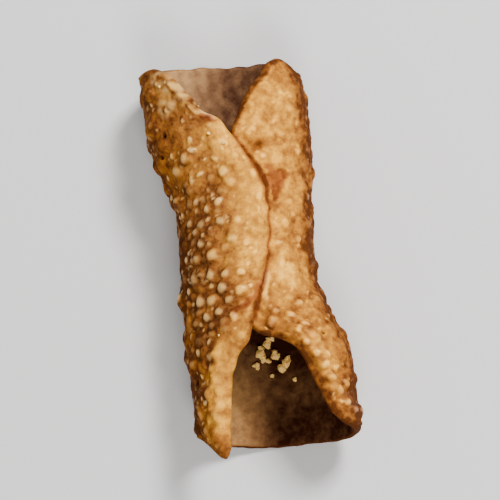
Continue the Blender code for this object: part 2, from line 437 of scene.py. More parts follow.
def swellings():
    """Angle, distance along, radius and height of each wide swelling, large ones first."""
    draw = random.Random(SWELLING_SEED)
    found = []
    for wanted, smallest, largest, height in SWELLINGS:
        placed = 0
        for _ in range(wanted * SWELLING_TRIES):
            if placed == wanted:
                break
            radius = draw.uniform(smallest, largest)
            middle_angle = draw.uniform(-ANGLE_REACH, ANGLE_REACH)
            middle_along = draw.uniform(-LENGTH_REACH, LENGTH_REACH)
            tall = height * draw.uniform(*SWELLING_HEIGHTS)
            clear = all(
                math.hypot((middle_angle - a) * WAIST_RADIUS, middle_along - b)
                > SWELLING_SPACING * (radius + r)
                for a, b, r, _ in found
            )
            if clear:
                found.append((middle_angle, middle_along, radius, tall))
                placed += 1
    return found


def crowding(angle_at, along_at, radius):
    """What share of the blisters drawn for this place stay."""
    if angle_at > CROWDED_PAST:
        return FEWER
    if along_at < CROWDED_UP_TO:
        return 1
    return FEWER if radius < LARGE_BLISTER else FEWER_LARGE


def blisters():
    """Angle, distance along, radius, height, stretch, turn and paleness of each small
    blister, the plain ones first."""
    draw = random.Random(BLISTER_SEED)
    plain_steepness = BLISTER_STEEPNESS * BLISTER_HEIGHTS[1]
    found = np.array([
        (math.radians(degrees), millimetres / 1000, radius / 1000, radius / 1000 * plain_steepness,
         draw.uniform(*PLAIN_STRETCHES), draw.uniform(0, math.pi), draw.uniform(*PLAIN_PALENESS))
        for degrees, millimetres, radius in PLAIN_BLISTERS
    ])
    for wanted, smallest, largest in BLISTERS:
        placed = 0
        for _ in range(wanted * BLISTER_TRIES):
            if placed == wanted:
                break
            radius = draw.uniform(smallest, largest)
            middle_angle = draw.uniform(-ANGLE_REACH, ANGLE_REACH)
            middle_along = draw.uniform(-LENGTH_REACH, LENGTH_REACH)
            stays = draw.random() < crowding(middle_angle, middle_along, radius)
            tall = radius * BLISTER_STEEPNESS * draw.uniform(*BLISTER_HEIGHTS)
            stretch = draw.uniform(*BLISTER_STRETCHES)
            turn = draw.uniform(0, math.pi)
            paleness = draw.random() ** BLISTER_DARKNESS
            gaps = np.hypot((found[:, 0] - middle_angle) * WAIST_RADIUS, found[:, 1] - middle_along)
            if stays and (gaps > BLISTER_SPACING * (found[:, 2] + radius)).all():
                blister = (middle_angle, middle_along, radius, tall, stretch, turn, paleness)
                found = np.vstack([found, blister])
                placed += 1
    return found


# Burst blisters: degrees round the tube, millimetres along it, radius in millimetres
PITS = (
    (-127.4, 30.5, 0.8), (-118.1, 25.7, 0.75), (-119.0, -33.7, 0.9), (124.2, -26.0, 0.5),
    (-100, 8, 0.6), (-75, -20, 0.8), (60, 14, 0.6), (-40, 30, 0.7), (85, -38, 0.6), (-96, -12, 0.5),
)
PIT_DEPTH = 0.0007
PIT_RIM = 0.00022

# In radii from a pit's middle: its wall, the middle and width of its raised rim, and where
# the blisters round it start and are full
PIT_WALL = (0.55, 1.0)
PIT_RIM_PLACE = (1.15, 0.3)
PIT_CLEARING = (1.5, 3.0)

# The relief leaves out the strip it rests on, the rim (in millimetres), and the right
# flap under the lap (in shares of the left flap's reach)
RELIEF_FROM = (math.radians(20), math.radians(40))
SMOOTH_RIM = (0.2, 1.4)
UNDER_LAP = (1.005, 1.05)

# The pale swelling at the foot of the right flap: degrees, millimetres, radius, height,
# how much narrower than long, where its smooth part ends in radii, and its steepness
BULGE_PLACE = (142, -9.8)
BULGE_RADIUS = 0.0052
BULGE_HEIGHT = 0.0009
BULGE_NARROWER = 1.5
BULGE_SMOOTH = (0.5, 1.1)
BULGE_STEEPNESS = 1.3

# The left lip's pale smooth finish, its paleness partly the lip's own and partly painted light:
# how much longer than the lip, and where it ends in shares of the lip's width, on a ragged line
LIP_FINISH_LENGTH = 1.25
LIP_FINISH_EDGE = (0.7, 1.1)
LIP_FINISH_RAGGED = 0.45
LIP_FINISH_LUMPS = 0.0035

# Both lips' roll is full at, and ends at, these shares of the lip's width
ROLL_FULL = 0.75
ROLL_END = 1.15
ROLL_HEIGHT = 1.3

wide = np.zeros(count)
for middle_angle, middle_along, radius, tall in swellings():
    away = np.hypot((angle - middle_angle) * WAIST_RADIUS, along - middle_along) / radius
    wide = np.maximum(wide, tall * np.clip(1 - away * away, 0, 1) ** SWELLING_STEEPNESS)

cap = np.zeros(count)
ring = np.zeros(count)
small = np.zeros(count)
ragged_right = layered(smooth_face, RAGGED)
ragged_up = layered(smooth_face + RAGGED_APART, RAGGED)
for middle_angle, middle_along, radius, tall, longer, turn, paleness in blisters():
    right = (angle - middle_angle) * WAIST_RADIUS + ragged_right
    up = along - middle_along + ragged_up
    near = np.nonzero(np.abs(right) + np.abs(up) < radius * BLISTER_SEARCH)[0]
    right, up = right[near], up[near]
    longwise = (right * math.cos(turn) + up * math.sin(turn)) / longer
    sidewise = up * math.cos(turn) - right * math.sin(turn)
    away = np.hypot(longwise, sidewise) / radius
    round_top = np.clip(1 - away * away, 0, 1)
    small[near] = np.maximum(small[near], tall * round_top ** BLISTER_ROUNDNESS)
    cap[near] = np.maximum(cap[near], paleness * ease(round_top, *CAP_EDGE))
    ring[near] = np.maximum(ring[near], peak(away, *RING))

off_base = ease(np.abs(angle), *RELIEF_FROM)
past_lap = ease(share_of_reach(angle - 2 * math.pi, along), *UNDER_LAP)
clear_of_lap = np.where(angle > 0, past_lap, 1)
bare = off_base * in_from_rim(*SMOOTH_RIM) * clear_of_lap

bulge_angle = math.radians(BULGE_PLACE[0])
bulge_along = BULGE_PLACE[1] / 1000
bulge = np.hypot((angle - bulge_angle) * WAIST_RADIUS * BULGE_NARROWER, along - bulge_along)
bulge = bulge / BULGE_RADIUS
smooth = 1 - ease(bulge, *BULGE_SMOOTH)

lip_width = LEFT_LIP[4]
ragged_rim = from_rim * (1 + LIP_FINISH_RAGGED * lumps(smooth_face, LIP_FINISH_LUMPS))
on_lip = np.sqrt(on_this_lip(angle, along, LEFT_LIP, LIP_FINISH_LENGTH))
on_lip *= 1 - ease(ragged_rim, *(share * lip_width for share in LIP_FINISH_EDGE))

at_side = turned_left(60, 80) * (1 - turned_left(105, 125))
puffed_rim = (angle > 0) * to_near_mouth(12, 20) * (1 - in_from_rim(5, 9))
pits = [away_from(degrees, millimetres) * 1000 / radius for degrees, millimetres, radius in PITS]

flap = turned_left(30, 70)
flap = flap + (1 - flap) * (RIGHT_TOP_BLISTERS + RIGHT_SIDE_BLISTERS * turned_right(70, 110))
flap += PUFFED_RIM_BLISTERS * puffed_rim
for away in pits:
    flap *= ease(away, *PIT_CLEARING)
small *= flap * (1 - LOWER_ON_BULGE * smooth)
small *= (1 - LOWER_ON_LIP * on_lip) * (1 - LOWER_ON_SIDE * at_side)
raised_bulge = BULGE_HEIGHT * np.clip(1 - bulge * bulge, 0, 1) ** BULGE_STEEPNESS
height = (np.maximum(wide, raised_bulge) + small) * bare

for lip in (LEFT_LIP, RIGHT_LIP):
    width, tall = lip[4:]
    roll = ease(from_rim, 0, ROLL_FULL * width)
    roll *= 1 - ease(from_rim, ROLL_FULL * width, ROLL_END * width)
    height += ROLL_HEIGHT * tall * np.sqrt(on_this_lip(angle, along, lip)) * roll

# Puffed ridges: one end, the other end (degrees, millimetres), half width and height in
# millimetres, and how pale
RIDGES = (
    ((142, -25.2), (122, -40.5), 1.7, 0.60, 0.35),
    ((141, -21.0), (128, -30.5), 1.4, 0.45, 0.35),
    ((118, -41.0), (104, -46.5), 1.6, 0.45, 0.35),
    ((160, -9.0), (167.5, -17.5), 1.0, 0.55, 1.1),
    ((-152, -31.5), (-141, -47.0), 1.5, 0.45, 0.35),
    ((-157, 34.9), (-171, 32.3), 0.9, 0.45, 1.2),
)
RIDGE_HEIGHT = 0.75
RIDGE_KNOBS = 0.6
KNOB_SIZE = 0.0022

# A drawn line wavers by this many times the blisters' raggedness, and is lower at its ends
LINE_RAGGED = 1.5
LINE_ENDS_LOWER = 0.5

# Where the pale skin has come off: a torn triangle beside the seam, its corners in degrees
# and millimetres, clockwise as seen from outside, with a curled edge; and strips from one
# place to another, with their half widths in millimetres
TORN = ((150, 19.0), (126, 16.4), (147.5, 8.2))
TORN_DEPTH = 0.0006
TORN_SOFTNESS = 0.0006
TORN_RAGGED = 2
TORN_CURL = 0.8
TORN_CURL_PLACE = (0.2, 0.15)
BARED = (
    ((-159, 33.6), (-171, 31.6), 0.7),
    ((-193, -12.0), (-184, -15.4), 1.4),
    ((-184, -15.4), (-169, -18.4), 1.1),
)
BARED_EDGE = (0, 0.6)

# Where the seam gapes: the middle and half length, how orange the left flap's edge is there,
# partly as bared dough and partly as painted shade in the gap, and how wide a strip, in millimetres
GAPE_ALONG = 0.0160
GAPE_HALF_LENGTH = 0.010
GAPE_BARED = 0.9
GAPE_BARED_STRIP = (0.3, 1.2)

# Fine unevenness all over: size of the lumps, and how high they stand. The relief ends
# this many millimetres from the rim.
GRAIN = ((0.0040, 0.00018), (0.0016, 0.00012), (0.0008, 0.00006))
RELIEF_ENDS = (0, 1.0)


def on_dough(degrees, millimetres):
    """This place as metres round the tube and metres along it."""
    return np.array((math.radians(degrees) * WAIST_RADIUS, millimetres / 1000))


def nearness(start, end, half_width):
    """1 on a wavering line between two places on the dough, 0 from its half width on."""
    first, last = on_dough(*start), on_dough(*end)
    run = last - first
    right = angle * WAIST_RADIUS + ragged_right * LINE_RAGGED - first[0]
    up = along + ragged_up * LINE_RAGGED - first[1]
    share = np.clip((right * run[0] + up * run[1]) / (run @ run), 0, 1)
    away = np.hypot(right - share * run[0], up - share * run[1]) / half_width
    return np.clip(1 - away * away, 0, 1) * (1 - LINE_ENDS_LOWER * np.abs(2 * share - 1) ** 3)


def within(corners, softness):
    """1 inside the triangle with these corners, and 0 outside it."""
    right = angle * WAIST_RADIUS + ragged_right * TORN_RAGGED
    up = along + ragged_up * TORN_RAGGED
    covered = np.ones(count)
    places = [on_dough(*corner) for corner in corners]
    for start, end in zip(places, places[1:] + places[:1]):
        run = (end - start) / np.hypot(*(end - start))
        off_side = run[1] * (right - start[0]) - run[0] * (up - start[1])
        covered = np.minimum(covered, ease(-off_side, -softness, softness))
    return covered


knobbly = RIDGE_HEIGHT + RIDGE_KNOBS * lumps(smooth_face, KNOB_SIZE)
ridge = np.zeros(count)
for start, end, half_width, tall, paleness in RIDGES:
    here = nearness(start, end, half_width / 1000)
    ridge = np.maximum(ridge, here * paleness)
    height += tall / 1000 * here * bare * knobbly

torn = within(TORN, TORN_SOFTNESS) * clear_of_lap
height += TORN_DEPTH * (TORN_CURL * peak(torn, *TORN_CURL_PLACE) - torn)
bared_and_shade = torn
for start, end, half_width in BARED:
    bared_and_shade = np.maximum(bared_and_shade, ease(nearness(start, end, half_width / 1000), *BARED_EDGE))
gaping = swell(along - GAPE_ALONG, GAPE_HALF_LENGTH)
gaping_edge = gaping * lapping(angle, along) * (1 - in_from_rim(*GAPE_BARED_STRIP))
bared_and_shade = np.maximum(bared_and_shade, GAPE_BARED * gaping_edge)

pit = np.zeros(count)
for away in pits:
    pit = np.maximum(pit, 1 - ease(away, *PIT_WALL))
    height += PIT_RIM * peak(away, *PIT_RIM_PLACE)
height -= PIT_DEPTH * pit
height = (height + layered(smooth_face, GRAIN) * off_base) * in_from_rim(*RELIEF_ENDS)
fall = rim_fall(angle, along, from_rim)
move_to(crust, rolled(angle, along, lift - fall) + outwards * height[:, None])

# Parts that are browned or tinted in their own way, or given painted shade or light, in degrees and
# millimetres
FAR_SIDE_SHARE = 0.7
left_flap = turned_left(40, 80)
left_side = left_flap * (1 - turned_left(100, 150))
left_side *= 1 - FAR_SIDE_SHARE * to_far_mouth(15, 40) * turned_left(80, 100)
right_side = (1 - left_flap) * (1 - turned_right(102, 124))
near_left = left_flap * (1 - to_far_mouth(-2, 10))
near_right = to_near_mouth(4, 20) * (1 - left_flap)
by_seam = left_flap * (1 - in_from_rim(3, 13)) * turned_left(160, 182)
near_edge = to_near_mouth(12, 18) * (1 - in_from_rim(0.3, 1.4)) * (1 - on_lip)
far_edge = to_far_mouth(18, 30)
far_left_edge = far_edge * (1 - in_from_rim(0.4, 1.0)) * (angle < 0)
far_right_edge = far_edge * (1 - in_from_rim(0.6, 1.6)) * (angle > 0)

# Painted shade in the seam's crevice runs between these places along, tinted like bared dough.
# It lies on the right flap just past the left one's edge, further off where it gapes, and a
# little on that edge too.
RIGHT_FLAP_PAST = 2.0
FAR_AWAY = 1.0
CREVICE_WIDTH = (0.0004, 0.0012)
CREVICE_GAPES = 0.0014
CREVICE_ON_EDGE = 0.7
CREVICE_EDGE_WIDTH = (0.0001, 0.0008)
CREVICE_BARED = 0.7
seam_run = to_far_mouth(-24, -18) * (1 - to_far_mouth(25, 30))
over_lap = rim_distance(angle - 2 * math.pi, along)
over_lap = np.where(angle > RIGHT_FLAP_PAST, over_lap, FAR_AWAY)
edge_crevice_shade = lapping(angle, along) * (1 - ease(from_rim / (1 + gaping), *CREVICE_EDGE_WIDTH))
crevice_shade = seam_run * np.maximum(
    1 - ease(over_lap - CREVICE_GAPES * gaping, *CREVICE_WIDTH), CREVICE_ON_EDGE * edge_crevice_shade
)
bared_and_shade = np.maximum(bared_and_shade, CREVICE_BARED * crevice_shade)

# How dark the crevice's painted shade is, how much darker where it gapes, and along a short stretch
CREVICE_DARK = 0.5
GAPE_DARKER = 0.65
SHADE_STRETCH_DARKER = 0.6
SHADE_STRETCH_ALONG = -0.0105
SHADE_STRETCH_HALF_LENGTH = 0.0035
seam_shade_stretch = swell(along - SHADE_STRETCH_ALONG, SHADE_STRETCH_HALF_LENGTH)
crevice_shade *= CREVICE_DARK + GAPE_DARKER * gaping + SHADE_STRETCH_DARKER * seam_shade_stretch

# How brown the crust is, from 0 to 1: so much all over, and more or less on each part.
# This holds painted shade and light besides the browning of frying: the right side is darker
# as painted shade; the left flap is browner towards its side and paler beside the seam, partly
# by frying and partly as painted shade and light; the far rims are darker as painted shade on
# the wall's thickness; the near rim is darker partly by frying and partly as painted shade;
# and the seam's crevice is darker as painted shade.
BROWN_ALL_OVER = 0.42
MOTTLING = ((0.0033, 0.22), (0.0014, 0.22))
BLOTCHES = 0.004
mottled = (1 - left_flap) * layered(smooth_face, MOTTLING)
blotchy = 1 + lumps(smooth_face, BLOTCHES)
toast_and_shading = over_parts(BROWN_ALL_OVER, (
    (mottled, 1.0),
    (mottled * right_side, 0.40),
    (left_flap, 0.37),
    (left_side, 0.19),
    (right_side, 0.58),
    (near_left, 0.08),
    (near_right, 0.20),
    (near_right * right_side, -0.10),
    (by_seam, -0.52),
    (near_edge, 0.35),
    (far_left_edge, 0.05),
    (far_right_edge * blotchy, 0.50),
    (crevice_shade, 0.60),
    (ring * left_flap, 0.05),
    (ring * left_flap * near_left, 0.08),
    (bared_and_shade, 0.10),
    (torn, 0.24),
))

# Browner and paler places: degrees, millimetres, radius in millimetres, how much browner
STAINS = (
    (-174, -2, 10, -0.30), (-164, 28, 7.5, -0.26), (-126, -42, 5.5, -0.36), (-114, -18, 10, -0.22),
    (-162, -4, 5.5, -0.16), (-134, 38, 5.5, 0.12), (106, -6, 10, 0.08), (150, -14, 5.5, -0.14),
    (-116, 22, 10, -0.15), (-174, -18, 7.5, 0.24), (-182, 8, 10, -0.12), (-132, -30, 7.5, -0.16),
    (-140, 4, 10, 0.10), (-184, 18, 5.5, 0.16), (-154, 20, 5.5, -0.16), (-130, 42, 7.5, -0.10),
    (114, -2, 10, 0.28), (118, -30, 7.5, -0.24), (150, -12, 7.5, -0.14), (162, -22, 7.5, 0.25),
    (116, 8, 10, 0.13), (108, 44, 10, 0.18), (114, -44, 7.5, 0.16), (142, 20, 5.5, -0.13),
    (142, 28, 5.5, -0.12), (-130, 12, 7.0, 0.06), (-128, 28, 8.0, 0.07),
    (153.5, 24.0, 3.4, 0.30), (158, 24.0, 3.0, 0.24), (162, 24.3, 2.4, 0.12),
    (-165, 32.5, 3.2, 0.22), (130.5, 16.2, 1.8, 0.34), (138, 14.0, 1.4, 0.30),
    (-141, -51.5, 5.0, 0.50), (-150, 41.5, 3.0, -0.15), (-128, 46, 6.5, 0.13),
)
for degrees, millimetres, radius, browner in STAINS:
    toast_and_shading += browner * swell(away_from(degrees, millimetres), radius / 1000)

# The lip and the bulge are paler, the lip partly as painted light, and past a limit the crust browns
# less
LIP_PALER = 0.64
LIP_MOTTLING = 0.30
LIP_MOTTLE_SIZE = 0.0024
BULGE_PALER = 0.12
DARK_LIMIT = 0.8
DARK_SHARE = 0.7
toast_and_shading *= 1 - LIP_PALER * on_lip
toast_and_shading += LIP_MOTTLING * on_lip * lumps(smooth_face, LIP_MOTTLE_SIZE) - BULGE_PALER * smooth
toast_and_shading = np.where(toast_and_shading > DARK_LIMIT, DARK_LIMIT + (toast_and_shading - DARK_LIMIT) * DARK_SHARE, toast_and_shading)

# Pale crumbly places: degrees, millimetres, radius in millimetres, how pale. They are
# broken into flakes.
PALE_PLACES = (
    (-139, 43.5, 5.5, 0.62), (-133, 38, 4.0, 0.6), (-148, 40.3, 3.2, 0.60), (-154, 37.2, 2.4, 0.75),
    (-126, 46.5, 3.0, 0.6), (163, 28.5, 2.4, 0.5), (142, -9.8, 3.2, 0.15),
)
FLAKE_SIZE = 0.0015
FLAKE_CONTRAST = 1.9
FLAKE_MIDDLE = 0.6
FLAKE_PALEST = 1.5
flaky = FLAKE_MIDDLE + FLAKE_CONTRAST * lumps(smooth_face, FLAKE_SIZE)
flaky = np.clip(flaky, 0, FLAKE_PALEST)
pale_place = np.zeros(count)
for degrees, millimetres, radius, paleness in PALE_PLACES:
    here = swell(away_from(degrees, millimetres), radius / 1000)
    pale_place = np.maximum(pale_place, paleness * here * flaky)

# The caps are fainter on the lip and on the near end of the left side
FAINTER_ON_LIP = 0.6
FAINTER_ON_SIDE = 0.7
cap *= flap * (1 - FAINTER_ON_LIP * on_lip) * bare
cap *= 1 - FAINTER_ON_SIDE * at_side * to_near_mouth(34, 42)

# How yellow the fat has made each part, with an amber smear beside the seam
AMBER_PLACE = (156, 24.0)
AMBER_RADIUS = 0.0042
amber = swell(away_from(*AMBER_PLACE), AMBER_RADIUS)
warm = over_parts(0, (
    (left_side, 1.0),
    (1 - left_flap, 0.38),
    (right_side * (1 - left_flap), -0.30),
    (on_lip, 0.25),
    (by_seam, 0.30),
    (amber, 0.50),
))

crust_finish = {
    "cap": np.maximum.reduce([cap, ridge * knobbly, pale_place]),
    "left": left_flap * (1 - on_lip) * (1 - by_seam),
    "warm": warm,
    "pit": pit,
    "toast_and_shading": toast_and_shading,
    "bared_and_shade": bared_and_shade,
}


def note(thing, name, values):
    """Keeps a value for each point of the mesh, for the finish to read."""
    layer = thing.data.attributes.new(name, "FLOAT", "POINT")
    layer.data.foreach_set("value", values.astype(np.float32))


for name, values in crust_finish.items():
    note(crust, name, values)
note(crust, "inside", np.zeros(count))

# The inner face, smooth from the tube, thicker under the left lip, and slightly uneven
LIP_EXTRA = 0.45
LIP_FILLED = (0, 0.003)
INNER_LUMPS = 0.00016
INNER_LUMP_SIZE = 0.005
INNER_LUMPS_FROM = (0.001, 0.003)
lining, inner_angle, inner_along, inner_from_rim = sheet_of_dough("lining", 1, True)
inner_lapping = lapping(inner_angle, inner_along)
thicker = LIP_EXTRA * on_this_lip(inner_angle, inner_along, LEFT_LIP)
depth = WALL * (1 + thicker * ease(inner_from_rim, *LIP_FILLED))
depth -= rim_fall(inner_angle, inner_along, inner_from_rim)
inner_lift = lap_lift(inner_angle, inner_along, inner_from_rim)
inner_face = rolled(inner_angle, inner_along, inner_lift - depth)
roughened = INNER_LUMPS * lumps(inner_face, INNER_LUMP_SIZE) * (1 - inner_lapping)
roughened *= ease(inner_from_rim, *INNER_LUMPS_FROM)
move_to(lining, inner_face + straight_out(inner_angle) * roughened[:, None])

# How brown its far half is: browner to the right of a line that slants by so many radians a
# metre, as a painted shadow of the wall that overhangs it, and streaked lengthwise
FAR_HALF = (-0.010, 0.015)
FAR_PALEST = 0.08
FAR_LINE_SLANT = 30
FAR_LINE_ALONG = 0.051
FAR_LINE_WIDTH = (-1.0, 0.15)
STREAK_WIDTH = 0.0020
STREAK_LENGTH = 4
far_half = ease(inner_along, *FAR_HALF)
painted_shadow = ease(inner_angle - FAR_LINE_SLANT * (inner_along - FAR_LINE_ALONG), *FAR_LINE_WIDTH)
streak_places = np.stack(
    [inner_angle * WAIST_RADIUS, inner_along / STREAK_LENGTH, inner_along * 0], axis=1
)
far_brown_and_shadow = over_parts(FAR_PALEST, (
    (painted_shadow, 0.64),
    (lumps(streak_places, STREAK_WIDTH), 0.13),
))

# How brown its near half is, partly its own colour and partly painted shade: browner to the
# right, on a band across, at the mouth, and deep inside
NEAR_PALEST = 0.12
NEAR_LINE_WIDTH = (-0.75, 0.15)
BAND_ALONG = -0.027
BAND_HALF_LENGTH = 0.010
AT_MOUTH = (0.036, 0.046)
DEEP_INSIDE = (-0.028, -0.018)
NEAR_WARMTH = 0.6
near_brown_and_shade = over_parts(NEAR_PALEST, (
    (ease(inner_angle, *NEAR_LINE_WIDTH), 0.62),
    (swell(inner_along - BAND_ALONG, BAND_HALF_LENGTH), 0.25),
    (ease(-inner_along, *AT_MOUTH), 0.20),
    (ease(inner_along, *DEEP_INSIDE), 0.45),
))
lining_finish = {
    "toast_and_shading": far_half * far_brown_and_shadow + (1 - far_half) * near_brown_and_shade,
    "warm": NEAR_WARMTH * (1 - far_half),
}

# On the rim itself the lining takes the crust's finish
LINING_FINISH_FROM = (0.0, 0.0006)
rim_numbers = np.nonzero(from_rim == 0)[0]
crust_rim = KDTree(len(rim_numbers))
for number in rim_numbers:
    crust_rim.insert((angle[number] * WAIST_RADIUS, along[number], 0), number)
crust_rim.balance()
beside = [
    crust_rim.find((a * WAIST_RADIUS, b, 0))[1] for a, b in zip(inner_angle, inner_along)
]
inside = ease(inner_from_rim, *LINING_FINISH_FROM)
for name, values in crust_finish.items():
    note(lining, name, inside * lining_finish.get(name, 0) + (1 - inside) * values[beside])
note(lining, "inside", inside)

# The two faces are joined at the rim. The shell rests flat, over the middle of its box.
bpy.ops.object.select_all(action="DESELECT")
lining.select_set(True)
crust.select_set(True)
bpy.context.view_layer.objects.active = crust
bpy.ops.object.join()
bpy.ops.object.mode_set(mode="EDIT")
bpy.ops.mesh.select_mode(type="EDGE")
bpy.ops.mesh.select_all(action="DESELECT")
bpy.ops.mesh.select_non_manifold(extend=False)
bpy.ops.mesh.remove_doubles(threshold=RIM_WELD)
bpy.ops.mesh.select_all(action="SELECT")
bpy.ops.mesh.normals_make_consistent(inside=False)
bpy.ops.object.mode_set(mode="OBJECT")
points = coordinates(crust.data)
points[:, 2] = np.maximum(points[:, 2], 0)
points[:, :2] -= (points.min(axis=0) + points.max(axis=0))[:2] / 2
move_to(crust, points)
crust.data.shade_smooth()


def tint(red, green, blue):
    """A colour given in ordinary 0 to 255 values, for a shader."""
    linear = []
    for value in (red, green, blue):
        share = value / 255
        linear.append(share / 12.92 if value < 11 else ((share + 0.055) / 1.055) ** 2.4)
    return (*linear, 1.0)


def feed(tree, value, entry):
    """Sets a node's input to a number or colour, or links it to another node's output."""
    if isinstance(value, bpy.types.NodeSocket):
        tree.links.new(value, entry)
    else:
        entry.default_value = value


def blend(tree, share, first, second, way="MIX"):
    """Mixes two colours. A Mix node's colours are its inputs 6 and 7 and its output 2."""
    mixer = tree.nodes.new("ShaderNodeMix")
    mixer.data_type = "RGBA"
    mixer.blend_type = way
    feed(tree, share, mixer.inputs[0])
    feed(tree, first, mixer.inputs[6])
    feed(tree, second, mixer.inputs[7])
    return mixer.outputs[2]


def reckon(tree, operation, first, second, third=0.5):
    """A Math node's result. MULTIPLY_ADD reads the third value too, and adds it."""
    maths = tree.nodes.new("ShaderNodeMath")
    maths.operation = operation
    feed(tree, first, maths.inputs[0])
    feed(tree, second, maths.inputs[1])
    feed(tree, third, maths.inputs[2])
    return maths.outputs[0]


def spread(tree, value, low, high, out_low=0.0, out_high=1.0):
    """Turns a value from low..high into out_low..out_high, smoothly and held at both ends."""
    ramp = tree.nodes.new("ShaderNodeMapRange")
    ramp.interpolation_type = "SMOOTHSTEP"
    feed(tree, value, ramp.inputs["Value"])
    ramp.inputs["From Min"].default_value = low
    ramp.inputs["From Max"].default_value = high
    ramp.inputs["To Min"].default_value = out_low
    ramp.inputs["To Max"].default_value = out_high
    return ramp.outputs["Result"]


def clouds(tree, place, size, detail, roughness):
    """Noise with lumps of this size, in metres."""
    texture = tree.nodes.new("ShaderNodeTexNoise")
    texture.inputs["Scale"].default_value = 1 / size
    texture.inputs["Detail"].default_value = detail
    texture.inputs["Roughness"].default_value = roughness
    tree.links.new(place, texture.inputs["Vector"])
    return texture.outputs["Fac"]


def noted(tree, name):
    """The value that note kept under this name."""
    reader = tree.nodes.new("ShaderNodeAttribute")
    reader.attribute_name = name
    return reader.outputs["Fac"]


def colours(tree, value, stops):
    """A colour for each value, through these (value, colour) stops."""
    ramp = tree.nodes.new("ShaderNodeValToRGB")
    feed(tree, value, ramp.inputs["Fac"])
    elements = ramp.color_ramp.elements
    elements.remove(elements[0])
    for number, (position, colour) in enumerate(stops):
        stop = elements[0] if number == 0 else elements.new(position)
        stop.position = position
        stop.color = colour
    return ramp.outputs["Color"]


# The clouds in the dough's colour: name, size, detail and roughness. The last two also
# make the bumps, the fine one by this share.
DOUGH_CLOUDS = (("Patches", 0.010, 2, 0.55), ("Mottle", 0.0026, 4, 0.62), ("Fine", 0.0008, 3, 0.6))
FINE_BUMPS = 0.6
BUMP_HEIGHT = 0.00025


def dough_grain():
    """The unevenness of fried dough, shared by the shell and its crumbs: clouds and bumps."""
    group = bpy.data.node_groups.new("dough_grain", "ShaderNodeTree")
    group.interface.new_socket("Bumpiness", in_out="INPUT", socket_type="NodeSocketFloat")
    entering = group.nodes.new("NodeGroupInput")
    place = group.nodes.new("ShaderNodeTexCoord").outputs["Object"]
    leaving = group.nodes.new("NodeGroupOutput")
    bump = group.nodes.new("ShaderNodeBump")
    group.links.new(entering.outputs["Bumpiness"], bump.inputs["Strength"])
    bump.inputs["Distance"].default_value = BUMP_HEIGHT
    cloud = {name: clouds(group, place, *sizes) for name, *sizes in DOUGH_CLOUDS}
    bumps = reckon(group, "MULTIPLY_ADD", cloud["Fine"], FINE_BUMPS, cloud["Mottle"])
    group.links.new(bumps, bump.inputs["Height"])
    group.interface.new_socket("Normal", in_out="OUTPUT", socket_type="NodeSocketVector")
    group.links.new(bump.outputs["Normal"], leaving.inputs["Normal"])
    for name, value in cloud.items():
        group.interface.new_socket(name, in_out="OUTPUT", socket_type="NodeSocketFloat")
        group.links.new(reckon(group, "SUBTRACT", value, 0.5), leaving.inputs[name])
    return group


dough = dough_grain()

# From the palest crust to the darkest, and from the palest lining to the darkest
CRUST_COLOURS = (
    (0.02, tint(252, 188, 78)),
    (0.19, tint(228, 160, 53)),
    (0.31, tint(206, 143, 46)),
    (0.45, tint(183, 122, 43)),
    (0.64, tint(153, 96, 37)),
    (0.83, tint(122, 71, 31)),
    (1.00, tint(84, 45, 20)),
)
LINING_COLOURS = (
    (0.0, tint(178, 134, 88)),
    (0.4, tint(126, 90, 60)),
    (0.75, tint(84, 55, 37)),
    (1.0, tint(46, 20, 12)),
)
CREAM_AND_HIGHLIGHT = tint(240, 203, 126)
CREAM_AND_HIGHLIGHT_SHARE = 0.55
BARED_LIGHT = tint(158, 88, 40)
BARED_DARK = tint(98, 46, 20)
BARED_SHARE = 0.9
PIT_COLOUR = tint(40, 20, 8)
FAT_TINT = (1.0, 0.90, 0.58, 1.0)

# How much browner each cloud and the blisters' tops make the crust, and the lining; the tops'
# paleness is partly a painted highlight
PATCHES_BROWNER = 0.35
MOTTLE_BROWNER = 1.1
FINE_BROWNER = 0.4
TOPS_BROWNER = -0.60
LINING_MOTTLE = 0.9

# The blisters' tops shine with fat, and the whole crust is finely bumpy
TOPS_ROUGHER = -0.38
PLAIN_IOR = 1.04
TOPS_IOR = 0.50
CRUST_BUMPINESS = 0.7

# Golden and brown by turns, cream on the blisters' tops, partly as a painted highlight, and dark
# between them; the browning it reads also holds painted shade and light
fried = bpy.data.materials.new("fried_dough")
fried.use_nodes = True
tree = fried.node_tree
surface = tree.nodes["Principled BSDF"]
grain = tree.nodes.new("ShaderNodeGroup")
grain.node_tree = dough
grain.inputs["Bumpiness"].default_value = CRUST_BUMPINESS
patches, mottle, fine = (grain.outputs[name] for name in ("Patches", "Mottle", "Fine"))
broken_up = spread(tree, mottle, low=-0.25, high=0.15, out_low=0.5, out_high=1.15)
top = reckon(tree, "MULTIPLY", noted(tree, "cap"), broken_up)

baked_and_shaded = noted(tree, "toast_and_shading")
for share, browner in (
    (patches, PATCHES_BROWNER),
    (mottle, MOTTLE_BROWNER),
    (fine, FINE_BROWNER),
    (top, TOPS_BROWNER),
):
    baked_and_shaded = reckon(tree, "MULTIPLY_ADD", share, browner, baked_and_shaded)
colour = colours(tree, baked_and_shaded, CRUST_COLOURS)
creamy_and_highlit = reckon(tree, "MULTIPLY", top, noted(tree, "left"))
colour = blend(tree, reckon(tree, "MULTIPLY", creamy_and_highlit, CREAM_AND_HIGHLIGHT_SHARE), colour, CREAM_AND_HIGHLIGHT)
